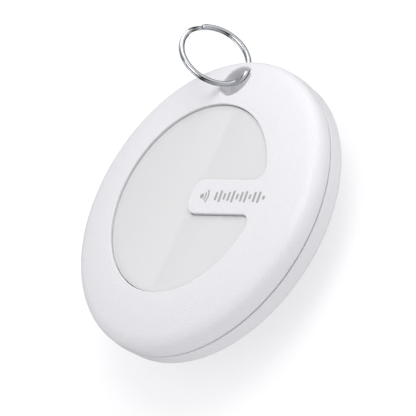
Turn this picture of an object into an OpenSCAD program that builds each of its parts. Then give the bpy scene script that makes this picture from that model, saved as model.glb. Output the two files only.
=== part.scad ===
// Bluetooth tracker tag with a split ring.
// The tag lies flat on its back: +Z is out of the front face, +Y is towards
// the keyring hole, +X runs along the tongue towards the rim.
// The origin is the centre of the flat back face. All sizes are in millimetres.

/* [Case] */
// Diameter of the disc at the parting line
disc_d = 43.6; // [43.2:0.1:44]
// Height of the parting line above the back face
parting_h = 2.8; // [2.7:0.05:2.9]
// Radius of the large arc that lets the front face fall towards the rim
dome_r = 25.6; // [24:0.2:27]
// Radius of the front shoulder
shoulder_r = 2; // [1.8:0.1:2.1]
// Radius of the edge round the back face
back_edge_r = 0.75; // [0.5:0.05:0.9]

/* [Window and tongue] */
// Diameter of the round window in the front
window_d = 28.2; // [27.8:0.1:28.6]
// Width of the tongue that reaches into the window
tongue_w = 5.12; // [4.9:0.02:5.4]
// Side offset of the tongue from the disc's centre line
tongue_y = 0.2; // [0:0.05:0.3]
// Place of the tongue's free end, measured from the centre
tongue_end_x = 0.5; // [0.2:0.1:1.5]
// Radius of the two inner corners where the tongue meets the window's edge
root_fillet_r = 1.5; // [1.2:0.1:1.7]
// How far the panel lies below the front face
panel_recess = 0.45; // [0.35:0.05:0.5]

/* [Keyring hole] */
// Distance of the hole from the disc's centre
hole_y = 17.93; // [17.8:0.01:18]
// Diameter of the hole
hole_d = 4.8; // [4.7:0.05:4.9]
// Width of the slot in the back and rim, behind the bar that the ring hangs on
slot_w = 6.2; // [6.1:0.05:6.4]
// Height of the underside of that bar
bar_h = 4.6; // [4.5:0.02:4.65]

/* [Split ring] */
// Mean diameter of the ring
ring_mean_d = 9.8; // [9.7:0.02:9.85]
// Width of the flat wire, across the ring
wire_w = 0.72; // [0.6:0.02:0.74]
// Thickness of one coil of the wire
wire_t = 0.3; // [0.24:0.01:0.31]
// Gap between the two coils
coil_gap = 0.04; // [0.03:0.01:0.05]
// Direction of the ring's axis, turned from +X
ring_turn = 30.5; // [30:0.1:31]
// Tilt of the ring's axis above the back face
ring_tilt = 27.1; // [26.6:0.1:27.6]
// Place of the wire's ends round the ring
ring_split = 125; // [0:5:355]

/* [Battery and door] */
// Diameter of the coin cell
cell_d = 20; // [19.8:0.1:20]
// Thickness of the coin cell
cell_t = 3.2; // [3.1:0.05:3.2]
// Diameter of the battery door
door_d = 24.3; // [24:0.1:24.4]
// Angle that the door turns through to unlock
door_turn = 30; // [28:1:32]

/* [Hidden] */
$fn = 96;
e = 0.01;
big = 60;

// Outer form of the case
disc_r = disc_d / 2;
face_h = 7.2;
flat_r = 12;
side_r = disc_r - 0.08;
shoulder_x = side_r - shoulder_r;
dome_z = face_h - dome_r;
shoulder_z = dome_z + sqrt(pow(dome_r - shoulder_r, 2) - pow(shoulder_x - flat_r, 2));
shoulder_dir = [shoulder_x - flat_r, shoulder_z - dome_z] / (dome_r - shoulder_r);
back_side_r = disc_r - 0.2;
back_x = back_side_r - back_edge_r;
reveal_w = 0.3;
reveal_h = 0.07;

// Inner form of the case
front_wall = 1.05;
front_under_z = face_h - front_wall;
shell_inner_r = disc_r - 1.4;
lip_outer_r = shell_inner_r - 0.15;
lip_inner_r = lip_outer_r - 0.75;
lip_top_z = parting_h + 1.1;
floor_t = 1.2;
land_r = slot_w / 2 + 0.9;
fit_gap = 0.08;

// Window and panel
window_r = window_d / 2;
tongue_corner_r = 1.9;
panel_top_z = face_h - panel_recess;
panel_travel = 0.2;
flange_r = window_r + 0.9;
flange_top_z = front_under_z - 0.05;
flange_t = 0.5;
flange_z = flange_top_z - flange_t;
flange_slot_w = tongue_w - 0.9;

// Circuit board and what stands on it
board_z = 4.3;
board_t = 0.5;
board_top_z = board_z + board_t;
board_r = lip_inner_r - 0.2;
post_ring_r = 17.2;
post_angles = [50, 130, 230, 310];
screw_r = 0.58;
switch_x = -6;
gasket_inner_r = 13.5;

// Battery door
door_r = door_d / 2;
door_t = 0.75;
door_gap = 0.1;
neck_r = cell_d / 2 + 0.75;
neck_wall = 0.6;
ledge_top_z = 1.3;
lug_z = 1.35;
lug_t = 0.5;
lug_r = neck_r + 0.95;
lug_span = 20;
lug_slot_span = 24;
cell_z = 0.95;
housing_r = lug_r + 0.2;
coin_slot_r = 40;
coin_slot_depth = 0.4;
buzzer_y = -15.85;

// Mark on the tongue
mark_depth = 0.06;
bar_count = 12;
bar_pitch = 0.84;

// ---------- shared shapes ----------

// Half outline of the whole case, turned about Z to make it.
module case_outline() {
    tangent_far = [shoulder_x, shoulder_z] + 8 * shoulder_dir;
    intersection() {
        union() {
            square([flat_r, face_h]);
            translate([flat_r, dome_z]) circle(dome_r, $fn = 720);
        }
        union() {
            polygon([[0, 0], [0, 12], tangent_far, [shoulder_x, shoulder_z], [back_x, back_edge_r],
                [back_x, 0]]);
            polygon([[shoulder_x, shoulder_z], [side_r, shoulder_z], [disc_r, parting_h],
                [back_side_r, back_edge_r], [back_x, back_edge_r]]);
            translate([shoulder_x, shoulder_z]) circle(shoulder_r);
            translate([back_x, back_edge_r]) circle(back_edge_r);
        }
        square([big, face_h + 1]);
    }
}

module case_solid() {
    rotate_extrude($fn = 180) case_outline();
}

module block(x0, x1, y0, y1, z0, z1) {
    translate([x0, y0, z0]) cube([x1 - x0, y1 - y0, z1 - z0]);
}

module tube(r_out, r_in, z0, z1) {
    translate([0, 0, z0]) difference() {
        cylinder(r = r_out, h = z1 - z0);
        translate([0, 0, -1]) cylinder(r = r_in, h = z1 - z0 + 2);
    }
}

// Part of a flat ring between two angles less than 180 degrees apart.
module ring_sector(r_out, r_in, z0, z1, from, to) {
    intersection() {
        tube(r_out, r_in, z0, z1);
        translate([0, 0, z0 - 1]) linear_extrude(z1 - z0 + 2)
            polygon([[0, 0], big * [cos(from), sin(from)], big * [cos((from + to) / 2),
                sin((from + to) / 2)], big * [cos(to), sin(to)]]);
    }
}

// A part's own frame moved out along a radius and turned to face outwards.
module at_polar(r, angle) {
    rotate([0, 0, angle]) translate([r, 0, 0]) children();
}

// Plan of the tongue, grown by the given gap all round.
module tongue_plan(gap, width, corner) {
    x0 = tongue_end_x - gap;
    half = width / 2 + gap;
    translate([0, tongue_y]) {
        translate([x0 + corner, -half]) square([big, 2 * half]);
        translate([x0, corner - half]) square([big, 2 * (half - corner)]);
        translate([x0 + corner, half - corner]) circle(corner);
        translate([x0 + corner, corner - half]) circle(corner);
    }
}

// Rounded inner corner of the window, on the +Y side (side = 1) or the -Y side (side = -1).
module root_corner(gap, side) {
    r = root_fillet_r - gap;
    rim = window_r - gap;
    line_y = tongue_y + side * (tongue_w / 2 + gap);
    cy = line_y + side * r;
    cx = sqrt(pow(rim - r, 2) - pow(cy, 2));
    far = rim / (rim - r) * [cx, cy];
    difference() {
        polygon([[cx, line_y - side], [window_r + 1, line_y - side], far * 1.08, far, [cx, cy]]);
        translate([cx, cy]) circle(r);
    }
}

// Plan of the C-shaped window, or of the panel in it where gap is more than 0.
module window_plan(gap) {
    difference() {
        circle(window_r - gap, $fn = 180);
        tongue_plan(gap, tongue_w, tongue_corner_r);
        root_corner(gap, 1);
        root_corner(gap, -1);
    }
}

// Plan of the solid land round the keyring hole.
module land_plan(gap) {
    translate([0, hole_y]) circle(land_r + gap);
    translate([-land_r - gap, hole_y]) square([2 * (land_r + gap), 6]);
}

// The keyring hole, and the slot in the back and the rim behind the bar.
module ring_way() {
    translate([0, hole_y, -1]) cylinder(d = hole_d, h = face_h + 2);
    translate([0, hole_y, -1]) cylinder(d = slot_w, h = bar_h + 1);
    block(-slot_w / 2, slot_w / 2, hole_y, big, -1, bar_h);
}

// Plan of the printed mark: a dot with two arcs, then a row of bars like a sound wave.
module mark_plan() {
    dot_x = 2.9;
    arc_t = 0.24;
    translate([dot_x, tongue_y]) {
        circle(0.36);
        for (r = [0.86, 1.36]) intersection() {
            difference() {
                circle(r);
                circle(r - arc_t);
            }
            polygon([[0, 0], [2, 2], [2, -2]]);
        }
    }
    for (i = [0 : bar_count - 1]) {
        bar_len = 0.5 + 1.25 * abs(sin(62 * i + 35));
        translate([5.5 + i * bar_pitch, tongue_y - bar_len / 2]) square([0.38, bar_len]);
    }
}

// The layer just under the front face that the mark fills.
module mark_layer() {
    intersection() {
        translate([0, 0, face_h - 1.5]) linear_extrude(2) mark_plan();
        difference() {
            case_solid();
            translate([0, 0, -mark_depth]) case_solid();
        }
    }
}

// ---------- case ----------

module front_shell() {
    color("whitesmoke") difference() {
        union() {
            difference() {
                case_solid();
                block(-big, big, -big, big, -1, parting_h);
                rotate_extrude($fn = 180) polygon([[0, 1], [0, front_under_z],
                    [window_r + 1.5, front_under_z], [19.5, 5.15],
                    [shell_inner_r, 4.3], [shell_inner_r, 1]]);
            }
            intersection() {
                case_solid();
                translate([0, 0, parting_h]) linear_extrude(big) land_plan(0);
            }
        }
        translate([0, 0, front_under_z - 1]) linear_extrude(3) window_plan(0);
        ring_way();
        tube(disc_r + 1, disc_r - reveal_w, parting_h - 1, parting_h + reveal_h);
        mark_layer();
    }
}

module rear_cover() {
    color("white") difference() {
        union() {
            difference() {
                case_solid();
                block(-big, big, -big, big, parting_h, big);
                translate([0, 0, floor_t]) cylinder(r = lip_inner_r, h = big);
            }
            difference() {
                tube(lip_outer_r, lip_inner_r, parting_h - 0.5, lip_top_z);
                tube(lip_outer_r + 1, lip_outer_r - 0.36, 3.05, 3.55);
                translate([0, 0, parting_h]) linear_extrude(3) land_plan(fit_gap);
            }
            intersection() {
                case_solid();
                linear_extrude(parting_h) land_plan(0);
            }
            tube(housing_r + 0.7, housing_r, floor_t - 0.2, 2.9);
            tube(housing_r + 0.5, neck_r + door_gap, door_t, ledge_top_z);
            for (a = post_angles) at_polar(post_ring_r, a)
                translate([0, 0, floor_t - 0.2]) cylinder(r = 1.5, h = board_z - floor_t + 0.2);
            for (i = [0 : 2]) ring_sector(housing_r + 0.3, neck_r + 0.2, ledge_top_z - 0.1,
                lug_z + lug_t, 120 * i + lug_span / 2 + 2, 120 * i + lug_span / 2 + 6);
        }
        ring_way();
        tube(disc_r + 1, disc_r - reveal_w, parting_h - reveal_h, parting_h + 1);
        translate([0, 0, -1]) cylinder(r = door_r + door_gap, h = door_t + 1);
        translate([0, 0, -1]) cylinder(r = neck_r + door_gap, h = 4);
        for (i = [0 : 2]) ring_sector(lug_r + 0.1, neck_r - 0.5, -1, ledge_top_z + 0.1,
            120 * i - door_turn - lug_slot_span / 2, 120 * i - door_turn + lug_slot_span / 2);
        for (a = post_angles) at_polar(post_ring_r, a)
            translate([0, 0, 1.5]) cylinder(r = screw_r + 0.02, h = 4);
        for (a = [90, 210, 330]) translate([0.7 * cos(a), buzzer_y + 0.7 * sin(a), -1])
            cylinder(r = 0.3, h = 4);
    }
}

module case_seal() {
    color("dimgray") difference() {
        rotate_extrude($fn = 180) translate([lip_outer_r - 0.12, 3.3]) circle(0.22, $fn = 32);
        linear_extrude(6) land_plan(fit_gap + 0.1);
    }
}

// ---------- front panel ----------

module front_panel() {
    color("gainsboro") union() {
        translate([0, 0, flange_top_z - 0.2]) linear_extrude(panel_top_z - flange_top_z + 0.2)
            window_plan(fit_gap);
        translate([0, 0, flange_z]) linear_extrude(flange_t) difference() {
            circle(flange_r, $fn = 180);
            tongue_plan(-0.7, flange_slot_w + 1.4, 1.4);
            land_plan(0.3);
        }
    }
}

module front_mark() {
    color("darkgray") mark_layer();
}

// Soft foam ring that the panel's flange rests on.
module panel_gasket() {
    color("lightslategray") difference() {
        tube(flange_r - 0.2, gasket_inner_r, board_top_z, flange_z);
        translate([0, 0, board_top_z - 1]) linear_extrude(3) {
            tongue_plan(0, flange_slot_w, 1.4);
            land_plan(0.3);
        }
    }
}

// ---------- circuit board ----------

module circuit_board() {
    color("seagreen") translate([0, 0, board_z]) linear_extrude(board_t) difference() {
        circle(board_r, $fn = 180);
        land_plan(0.35);
        for (a = post_angles) rotate(a) translate([post_ring_r, 0]) circle(0.8);
    }
}

// A component's plain body hung under the board, its length across the radius.
module under_part(r, angle, depth, width, height) {
    at_polar(r, angle) translate([-depth / 2, -width / 2, board_z - height])
        cube([depth, width, height]);
}

module bluetooth_chip() {
    color("dimgray") difference() {
        under_part(15.8, 180, 4, 4, 0.75);
        translate([-14.4, 1.4, board_z - 0.8]) cylinder(r = 0.25, h = 0.1);
    }
}

module shield_can() {
    color("silver") difference() {
        under_part(15.8, 180, 6, 6, 1.5);
        translate([-15.8 - 2.85, -2.85, board_z - 1.35]) cube([5.7, 5.7, 2]);
    }
}

module main_crystal() {
    color("lightgray") under_part(16, 156, 1.6, 2, 0.5);
}

module clock_crystal() {
    color("gold") under_part(13.7, 207, 1.2, 2, 0.6);
}

module chip_antenna() {
    color("ivory") under_part(17.6, 207, 1.6, 3.2, 1.1);
}

module capacitors() {
    color("tan") {
        for (a = [18, 24, 152, 199, 249, 291, 328]) under_part(17.6, a, 0.5, 1, 0.5);
        for (a = [20, 330]) under_part(14.2, a, 0.8, 1.6, 0.8);
        for (y = [-3, 3]) block(-9.5, -8.5, y - 0.25, y + 0.25, board_top_z, board_top_z + 0.3);
    }
}

module resistors() {
    color("black") {
        for (a = [28, 168, 196, 253, 287, 333]) under_part(18.2, a, 0.5, 1, 0.35);
        block(-3, -2, -5.25, -4.75, board_top_z, board_top_z + 0.3);
    }
}

module boost_inductor() {
    color("darkslategray") difference() {
        under_part(16.3, 0, 3, 3, 1.5);
        translate([16.3, 0, board_z - 1.6]) difference() {
            cylinder(r = 1.3, h = 0.2);
            translate([0, 0, -1]) cylinder(r = 1.05, h = 2);
        }
    }
}

module buzzer_driver() {
    color("black") under_part(15.2, 343, 1.3, 2.9, 1);
}

module buzzer_case() {
    color("black") difference() {
        translate([-3.1, buzzer_y - 3.1, 2]) cube([6.2, 6.2, board_z - 2]);
        translate([0, buzzer_y, 2.3]) cylinder(r = 2.7, h = 1.8);
        translate([0, buzzer_y, 1]) cylinder(r = 0.8, h = 2);
    }
}

module buzzer_coil() {
    color("peru") translate([0, buzzer_y, 3.1]) difference() {
        cylinder(r = 1.6, h = 1);
        translate([0, 0, -1]) cylinder(r = 0.6, h = 3);
    }
}

module buzzer_diaphragm() {
    color("silver") translate([0, buzzer_y, 2.7]) cylinder(r = 2.68, h = 0.1);
}

module sound_mesh() {
    color("gray") translate([0, buzzer_y, floor_t]) cylinder(r = 1.7, h = 0.12);
}

// ---------- switch ----------

module switch_case() {
    color("black") difference() {
        block(switch_x - 1.5, switch_x + 1.5, -1.5, 1.5, board_top_z, 5.2);
        translate([switch_x, 0, 4.86]) cylinder(r = 1.1, h = 1);
    }
}

module switch_cover() {
    color("silver") difference() {
        block(switch_x - 1.5, switch_x + 1.5, -1.5, 1.5, 5.2, 5.27);
        translate([switch_x, 0, 5]) cylinder(r = 0.86, h = 1);
    }
}

module switch_plunger() {
    color("tomato") translate([switch_x, 0, 0]) {
        translate([0, 0, 5.08]) cylinder(r = 1, h = 0.1);
        translate([0, 0, 5.08]) cylinder(r = 0.78, h = flange_z - 5.1);
    }
}

// ---------- battery ----------

module cell_carrier() {
    color("lightsteelblue") difference() {
        tube(cell_d / 2 + 1.6, cell_d / 2 + 0.2, 2.05, board_z);
        block(9, 14, -1.9, 1.9, 0, 8);
    }
}

module coin_cell() {
    cap_r = cell_d / 2 - 1.1;
    color("silver") rotate_extrude() polygon([[0, cell_z], [cell_d / 2 - 0.3, cell_z],
        [cell_d / 2, cell_z + 0.3], [cell_d / 2, cell_z + cell_t - 0.6],
        [cell_d / 2 - 0.35, cell_z + cell_t - 0.3], [cap_r, cell_z + cell_t - 0.3],
        [cap_r - 0.15, cell_z + cell_t], [0, cell_z + cell_t]]);
}

module positive_contact() {
    x = cell_d / 2 + 0.02;
    color("gold") {
        block(x, x + 0.16, -1.4, 1.4, 2.2, board_z);
        block(x + 0.1, x + 2.1, -1.1, 1.1, board_z - 0.15, board_z);
    }
}

module negative_contact() {
    contact_t = board_z - cell_z - cell_t;
    color("gold") translate([0, 0, cell_z + cell_t]) linear_extrude(contact_t) {
        circle(3.2);
        for (a = [0, 90, 180, 270]) rotate(a) translate([0, -0.8]) square([6.5, 1.6]);
    }
}

module battery_door() {
    color("white") difference() {
        union() {
            cylinder(r = door_r, h = door_t - 0.05);
            tube(neck_r, neck_r - neck_wall, door_t - 0.2, lug_z + lug_t);
            for (i = [0 : 2]) ring_sector(lug_r, neck_r - 0.3, lug_z, lug_z + lug_t,
                120 * i - lug_span / 2, 120 * i + lug_span / 2);
        }
        translate([0, 0, coin_slot_depth - coin_slot_r]) rotate([90, 0, 0])
            cylinder(r = coin_slot_r, h = 1.7, center = true, $fn = 360);
        tube(door_r - 0.35, door_r - 0.95, 0.3, door_t + 0.01);
        for (a = [90, 270]) at_polar(door_r - 1.2, a) translate([0, 0, -1])
            cylinder(r = 0.4, h = 1.15);
    }
}

module door_seal() {
    color("dimgray") rotate_extrude() translate([door_r - 0.65, 0.5]) circle(0.19, $fn = 32);
}

module door_pad() {
    color("gray") translate([0, 0, door_t - 0.05]) cylinder(r = 6, h = cell_z - door_t + 0.05);
}

module board_screws() {
    head_z = board_top_z;
    color("silver") for (a = post_angles) at_polar(post_ring_r, a) difference() {
        union() {
            translate([0, 0, 2]) cylinder(r = screw_r, h = head_z - 2 + e);
            translate([0, 0, head_z]) cylinder(r = 1.15, h = 0.42);
        }
        for (turn = [0, 90]) rotate([0, 0, turn])
            translate([-0.7, -0.13, head_z + 0.2]) cube([1.4, 0.26, 1]);
    }
}

// ---------- split ring ----------

// The wire makes two coils and climbs from one to the other over a short ramp.
ring_center = [-4.41, 21.14, 7.64];
ramp_from = 345;
ramp_span = 30;
wire_from = 16;
wire_span = 688;
wire_steps = 132;

// Corners of the flat wire's rounded section, as [across, along] pairs.
wire_section = [for (c = [[1, 0.45], [0.8, 1], [-0.8, 1], [-1, 0.45], [-1, -0.45], [-0.8, -1],
    [0.8, -1], [1, -0.45]]) [c[0] * wire_w / 2, c[1] * wire_t / 2]];

// How far up the wire has climbed at an angle along its two coils, from -1 to 1.
function climb(a) = let (s = min(1, max(0, (a - ramp_from) / ramp_span))) -1 + 2 * s * s * (3 - 2 * s);

function wire_angle(i) = wire_from + wire_span * i / wire_steps;

function wire_point(i, j) = let (a = wire_angle(i), r = ring_mean_d / 2 + wire_section[j][0])
    [r * cos(a), r * sin(a), climb(a) * (wire_t + coil_gap) / 2 + wire_section[j][1]];

module split_ring() {
    n = len(wire_section);
    points = [for (i = [0 : wire_steps]) for (j = [0 : n - 1]) wire_point(i, j)];
    sides = [for (i = [0 : wire_steps - 1]) for (j = [0 : n - 1])
        [i * n + j, i * n + (j + 1) % n, (i + 1) * n + (j + 1) % n, (i + 1) * n + j]];
    first_end = [for (j = [n - 1 : -1 : 0]) j];
    last_end = [for (j = [0 : n - 1]) wire_steps * n + j];
    color("silver") translate(ring_center) rotate([0, 90 - ring_tilt, ring_turn])
        rotate([0, 0, ring_split]) polyhedron(points, concat(sides, [first_end, last_end]));
}

front_shell();
rear_cover();
front_panel();
front_mark();
panel_gasket();
circuit_board();
bluetooth_chip();
shield_can();
main_crystal();
clock_crystal();
chip_antenna();
capacitors();
resistors();
boost_inductor();
buzzer_driver();
buzzer_case();
buzzer_coil();
buzzer_diaphragm();
sound_mesh();
switch_case();
switch_cover();
switch_plunger();
cell_carrier();
coin_cell();
positive_contact();
negative_contact();
battery_door();
door_seal();
door_pad();
case_seal();
board_screws();
split_ring();
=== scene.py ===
"""Looks of the bluetooth tracker tag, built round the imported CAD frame.

Shapes are worked out in millimetres in the row frame and scaled to metres when a mesh is made.
"""

import math

import bmesh
import bpy
from mathutils import Matrix, Vector
from mathutils.geometry import delaunay_2d_cdt


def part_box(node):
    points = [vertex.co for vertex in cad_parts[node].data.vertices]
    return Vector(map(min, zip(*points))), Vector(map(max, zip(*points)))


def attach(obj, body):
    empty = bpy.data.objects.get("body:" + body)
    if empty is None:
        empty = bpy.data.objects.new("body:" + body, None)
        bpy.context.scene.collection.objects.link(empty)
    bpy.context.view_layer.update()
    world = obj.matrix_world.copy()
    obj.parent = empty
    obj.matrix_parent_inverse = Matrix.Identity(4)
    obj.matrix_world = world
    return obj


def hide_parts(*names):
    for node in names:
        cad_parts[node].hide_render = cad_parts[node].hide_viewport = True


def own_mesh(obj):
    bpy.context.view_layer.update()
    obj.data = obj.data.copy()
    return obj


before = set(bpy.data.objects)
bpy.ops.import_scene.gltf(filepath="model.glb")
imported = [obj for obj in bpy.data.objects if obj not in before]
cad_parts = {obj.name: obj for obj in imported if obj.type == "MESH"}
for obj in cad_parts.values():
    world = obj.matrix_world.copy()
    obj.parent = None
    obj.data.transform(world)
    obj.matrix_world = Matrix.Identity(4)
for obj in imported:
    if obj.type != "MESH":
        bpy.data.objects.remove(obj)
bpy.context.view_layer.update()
MM = 0.001

# ---------- driving dimensions, in millimetres ----------


def cad_box(node):
    """Corners of a CAD node's box, in millimetres."""
    low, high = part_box(node)
    return low / MM, high / MM


SHELL_LOW, SHELL_HIGH = cad_box("front_shell")
PANEL_LOW, PANEL_HIGH = cad_box("front_panel")
_, DOOR_HIGH = cad_box("battery_door")

DISC_R = (SHELL_HIGH.x - SHELL_LOW.x) / 2
FACE_H = SHELL_HIGH.z
PARTING_H = 2.8
FLAT_R = 12.0
DOME_R = 25.6
SIDE_R = DISC_R - 0.08
SHOULDER_R = 2.0
BACK_EDGE_R = 0.75
BACK_SIDE_R = DISC_R - 0.2
REVEAL_W = 0.6
REVEAL_H = 0.1
# Beside the parting line: the edges' width, their middle's drop, and the draft left above them
PARTING_EDGE = 0.1
PARTING_NICK = 0.03
DRAFT_REST = 0.05

WINDOW_R = 14.1
TONGUE_HALF = 2.56
TONGUE_Y = 0.2
TONGUE_END_X = 0.5
TONGUE_CORNER_R = 1.9
ROOT_FILLET_R = 1.5
# The room that the panel's flange and its foam leave round the tongue's underside
TONGUE_ROOM_HALF = 2.11
TONGUE_ROOM_CORNER_R = 1.4
UNDERSIDE_H = FACE_H - 1.05
PANEL_GAP = 0.08

HOLE_Y = 17.93
HOLE_R = 2.4
SLOT_HALF = 3.1
BAR_H = 4.6
LAND_R = 4.0
LAND_GAP = 0.3
INNER_R = DISC_R - 1.4
# A coordinate outside the disc and a height under its back, for the far ends of cutters
PAST_RIM = 30.0
BELOW = -1
# A flat face has a ring of points this far before its rounded edge
EDGE_SUPPORT = 0.2
# Spacing for a flat face that needs no spare points
FLAT_FILL = 4.0

SHOULDER_X = SIDE_R - SHOULDER_R
DOME_Z = FACE_H - DOME_R
SHOULDER_Z = DOME_Z + math.sqrt((DOME_R - SHOULDER_R) ** 2 - (SHOULDER_X - FLAT_R) ** 2)
# Radius at which the dome's arc passes into the shoulder's arc
TANGENT_R = FLAT_R + (SHOULDER_X - FLAT_R) * DOME_R / (DOME_R - SHOULDER_R)

TURN = 2 * math.pi
QUARTER = math.pi / 2
# Steps round the disc's outline, which the front shell and the rear cover share
RIM_STEPS = 480


# ---------- plain geometry ----------


def face_height(rho):
    """Height of the case's front surface at a distance from the axis."""
    if rho <= FLAT_R:
        return FACE_H
    if rho <= TANGENT_R:
        return DOME_Z + math.sqrt(DOME_R**2 - (rho - FLAT_R) ** 2)
    return SHOULDER_Z + math.sqrt(max(0.0, SHOULDER_R**2 - (rho - SHOULDER_X) ** 2))


def arc(cx, cy, radius, start, end, steps, last=True):
    """Points on an arc from one angle to another, in radians."""
    count = steps + 1 if last else steps
    angles = [start + (end - start) * i / steps for i in range(count)]
    return [(cx + radius * math.cos(a), cy + radius * math.sin(a)) for a in angles]


def line(start, end, steps):
    """Points from start up to, but without, end."""
    return [
        (start[0] + (end[0] - start[0]) * i / steps, start[1] + (end[1] - start[1]) * i / steps)
        for i in range(steps)
    ]


def window_loop(gap):
    """Outline of the C-shaped window, counter-clockwise, drawn in by a gap, or out if negative."""
    rim = WINDOW_R - gap
    half = TONGUE_HALF + gap
    x0 = TONGUE_END_X - gap
    corner = TONGUE_CORNER_R + gap
    root = ROOT_FILLET_R - gap
    low, high = TONGUE_Y - half, TONGUE_Y + half
    top_y = high + root
    low_y = low - root
    top_x = math.sqrt((rim - root) ** 2 - top_y**2)
    low_x = math.sqrt((rim - root) ** 2 - low_y**2)
    top_a = math.atan2(top_y, top_x)
    low_a = math.atan2(low_y, low_x)
    points = arc(0, 0, rim, top_a, TURN + low_a, 240, last=False)
    points += arc(low_x, low_y, root, low_a, QUARTER, 24, last=False)
    points += line((low_x, low), (x0 + corner, low), 30)
    points += arc(x0 + corner, low + corner, corner, -QUARTER, -math.pi, 20, last=False)
    points += line((x0, low + corner), (x0, high - corner), 4)
    points += arc(x0 + corner, high - corner, corner, math.pi, QUARTER, 20, last=False)
    points += line((x0 + corner, high), (top_x, high), 30)
    points += arc(top_x, top_y, root, -QUARTER, top_a, 24, last=False)
    return points


def circle_loop(cx, cy, radius, steps):
    """Points round a circle, counter-clockwise."""
    return arc(cx, cy, radius, 0, TURN, steps, last=False)


def fill_between(outer, holes, spacing, keep):
    """Triangles between an outer loop and its holes' loops, with spare points on a polar grid.

    Returns the points and the triangles. keep(x, y) says where a spare point may lie.
    """
    points, edges = [], []
    for loop in [outer] + holes:
        base = len(points)
        points += [Vector(p) for p in loop]
        edges += [(base + i, base + (i + 1) % len(loop)) for i in range(len(loop))]
    reach = max(math.hypot(*p) for p in outer)
    rings = int(reach / spacing)
    for ring in range(1, rings + 1):
        rho = ring * spacing
        count = max(6, int(TURN * rho / spacing))
        for i in range(count):
            angle = TURN * (i + 0.5 * (ring % 2)) / count
            x, y = rho * math.cos(angle), rho * math.sin(angle)
            if keep(x, y):
                points.append(Vector((x, y)))
    verts, _, faces, _, _, _ = delaunay_2d_cdt(points, edges, [], 0, 1e-7)
    kept = []
    for face in faces:
        cx = sum(verts[i].x for i in face) / len(face)
        cy = sum(verts[i].y for i in face) / len(face)
        if inside(outer, cx, cy) and not any(inside(hole, cx, cy) for hole in holes):
            kept.append(tuple(face))
    return verts, kept


def inside(loop, x, y):
    """Whether a point lies within a closed loop."""
    found = False
    last_x, last_y = loop[-1]
    for px, py in loop:
        if (py > y) != (last_y > y) and x < (last_x - px) * (y - py) / (last_y - py) + px:
            found = not found
        last_x, last_y = px, py
    return found


class Builder:
    """Collects points and faces, in millimetres, and makes one welded, closed mesh of them."""

    def __init__(self):
        self.bm = bmesh.new()

    def loop(self, points, height):
        """Adds a loop of points. height is a number or a function of x and y."""
        rise = height if callable(height) else (lambda x, y: height)
        return [self.bm.verts.new((x, y, rise(x, y))) for x, y in points]

    def bridge(self, first, second, closed=True):
        """Quads between two loops of equal length."""
        n = len(first)
        for i in range(n if closed else n - 1):
            j = (i + 1) % n
            self.bm.faces.new((first[i], first[j], second[j], second[i]))

    def stack(self, loops, closed=True):
        """Quads between each loop and the next one."""
        for first, second in zip(loops, loops[1:]):
            self.bridge(first, second, closed)

    def split_caps(self):
        """Triangles in place of every face with more than four corners."""
        bmesh.ops.triangulate(self.bm, faces=[f for f in self.bm.faces if len(f.verts) > 4])

    def surface(self, outer, holes, height, spacing, keep, up=True):
        """A filled area at a height that may vary, looking up or down."""
        rise = height if callable(height) else (lambda x, y: height)
        verts, faces = fill_between(outer, holes, spacing, keep)
        made = [self.bm.verts.new((v.x, v.y, rise(v.x, v.y))) for v in verts]
        for face in faces:
            self.bm.faces.new([made[i] for i in (face if up else face[::-1])])

    def finish(self, name, weld=1e-5):
        """Welds, turns every face outwards and returns a new object, in metres."""
        bmesh.ops.remove_doubles(self.bm, verts=self.bm.verts, dist=weld)
        bmesh.ops.dissolve_degenerate(self.bm, dist=weld, edges=self.bm.edges)
        bmesh.ops.recalc_face_normals(self.bm, faces=self.bm.faces)
        bmesh.ops.scale(self.bm, vec=(MM, MM, MM), verts=self.bm.verts)
        mesh = bpy.data.meshes.new(name)
        self.bm.to_mesh(mesh)
        self.bm.free()
        obj = bpy.data.objects.new(name, mesh)
        bpy.context.scene.collection.objects.link(obj)
        return obj


def revolve(name, profile, steps=360, center=(0, 0)):
    """A closed solid turned about an upright axis.

    profile runs from the axis back to the axis, or is a closed loop beside it.
    """
    build = Builder()
    cx, cy = center
    on_axis = profile[0][0] == 0
    rings = []
    for rho, z in profile:
        if rho == 0:
            rings.append([build.bm.verts.new((cx, cy, z))])
        else:
            rings.append(build.loop(circle_loop(cx, cy, rho, steps), z))
    pairs = list(zip(rings, rings[1:]))
    if not on_axis:
        pairs.append((rings[-1], rings[0]))
    for first, second in pairs:
        if len(first) == 1 or len(second) == 1:
            tip, ring = (first[0], second) if len(first) == 1 else (second[0], first)
            for i in range(steps):
                build.bm.faces.new((tip, ring[i], ring[(i + 1) % steps]))
        else:
            build.bridge(first, second)
    return build.finish(name)


def prism(name, loops):
    """A closed solid through a stack of (points, height) loops of equal length."""
    build = Builder()
    rings = [build.loop(points, height) for points, height in loops]
    build.stack(rings)
    for ring in (rings[0], rings[-1]):
        build.bm.faces.new(ring)
    build.split_caps()
    return build.finish(name)


def combine(obj, others, operation):
    """Applies booleans with the other objects, which are then deleted."""
    for other in others:
        modifier = obj.modifiers.new("cut", "BOOLEAN")
        modifier.operation = operation
        modifier.solver = "MANIFOLD"
        modifier.object = other
        apply_modifiers(obj)
        if not obj.data.polygons:
            raise RuntimeError(f"{operation} of {obj.name} with {other.name} left nothing")
        bpy.data.objects.remove(other)


def apply_modifiers(obj):
    """Turns an object's modifiers into plain mesh."""
    bpy.context.view_layer.update()
    graph = bpy.context.evaluated_depsgraph_get()
    mesh = bpy.data.meshes.new_from_object(obj.evaluated_get(graph))
    obj.modifiers.clear()
    obj.data = mesh
    return obj


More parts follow.
